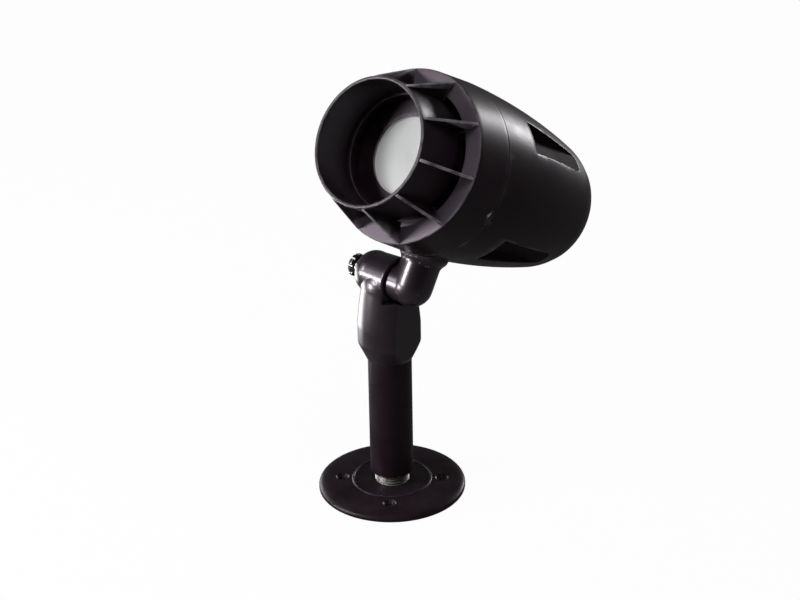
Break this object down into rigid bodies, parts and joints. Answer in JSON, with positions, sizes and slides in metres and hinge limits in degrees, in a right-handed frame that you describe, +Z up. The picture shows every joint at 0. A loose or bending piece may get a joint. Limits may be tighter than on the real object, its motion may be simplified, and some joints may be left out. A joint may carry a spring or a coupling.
{
  "type": "garden spotlight",
  "caption": "Garden spotlight: bullet head with finned glare snoot on an offset tilting arm, swivel knuckle and tube on a round screw-down flange.",
  "frame": {"origin": "centre of the flange's underside, on the stem axis and the circle of fixing holes", "axes": "+Z up along the stem; the tilt pivot lies along X; the head aims towards -Y, 30.85 degrees up, at rest"},
  "size_m": [0.1182, 0.1936, 0.281],
  "materials": {
    "housing_plastic": "satin moulded black",
    "bezel_plastic": "satin moulded black",
    "snoot_plastic": "fine matt black",
    "knuckle_plastic": "satin moulded black",
    "arm_plastic": "satin moulded black",
    "stem_paint": "textured black powder coat",
    "base_paint": "textured black powder coat",
    "thread_metal": "black on steel, worn bright on the crests",
    "zinc_steel": "zinc plated",
    "black_steel": "blackened",
    "brass": "machined",
    "seal_rubber": "matt",
    "lens_glass": "frosted",
    "lamp_glass": "clear",
    "reflector_coat": "faceted mirror on glass",
    "ceramic": "unglazed",
    "terminal_nylon": "moulded",
    "lead_insulation": "heat-resistant sleeve"
  },
  "bodies": {
    "stand": {"base_flange": "base_paint", "base_locknut": "zinc_steel", "stem_nipple": "thread_metal", "stem_tube": "stem_paint"},
    "knuckle": {"swivel_knuckle": "knuckle_plastic", "swivel_set_screw": "black_steel", "stem_seal": "seal_rubber", "pivot_seal": "seal_rubber", "pivot_washer": "zinc_steel"},
    "head": {"pivot_stud": "brass", "head_arm": "arm_plastic", "arm_gasket": "seal_rubber", "arm_screws": "zinc_steel", "wire_grommet": "seal_rubber", "rear_housing": "housing_plastic", "housing_seal": "seal_rubber", "bezel_screws": "black_steel", "bezel_ring": "bezel_plastic", "snoot": "snoot_plastic", "lens_gasket": "seal_rubber", "lens": "lens_glass", "lens_retainer": "black_steel", "lamp_glass": "lamp_glass", "lamp_reflector": "reflector_coat", "lamp_capsule": "lamp_glass", "lamp_base": "ceramic", "lamp_pins": "zinc_steel", "lamp_holder": "ceramic", "holder_screws": "zinc_steel", "lamp_bracket": "zinc_steel", "bracket_screws": "zinc_steel", "terminal_block": "terminal_nylon", "terminal_screws": "zinc_steel", "lamp_leads": "lead_insulation"},
    "nut": {"thumb_nut": "black_steel"}
  },
  "joints": [
    {"name": "pan_swivel", "type": "hinge", "parent": "stand", "child": "knuckle", "pos_m": [0, 0, 0.1177], "axis": [0, 0, 1], "range_deg": [-170, 170]},
    {"name": "head_tilt", "type": "hinge", "parent": "knuckle", "child": "head", "pos_m": [0.0197, 0, 0.144], "axis": [1, 0, 0], "range_deg": [-45, 105]},
    {"name": "thumb_nut_turn", "type": "hinge", "parent": "knuckle", "child": "nut", "pos_m": [-0.0237, 0, 0.144], "axis": [1, 0, 0], "continuous": true}
  ]
}
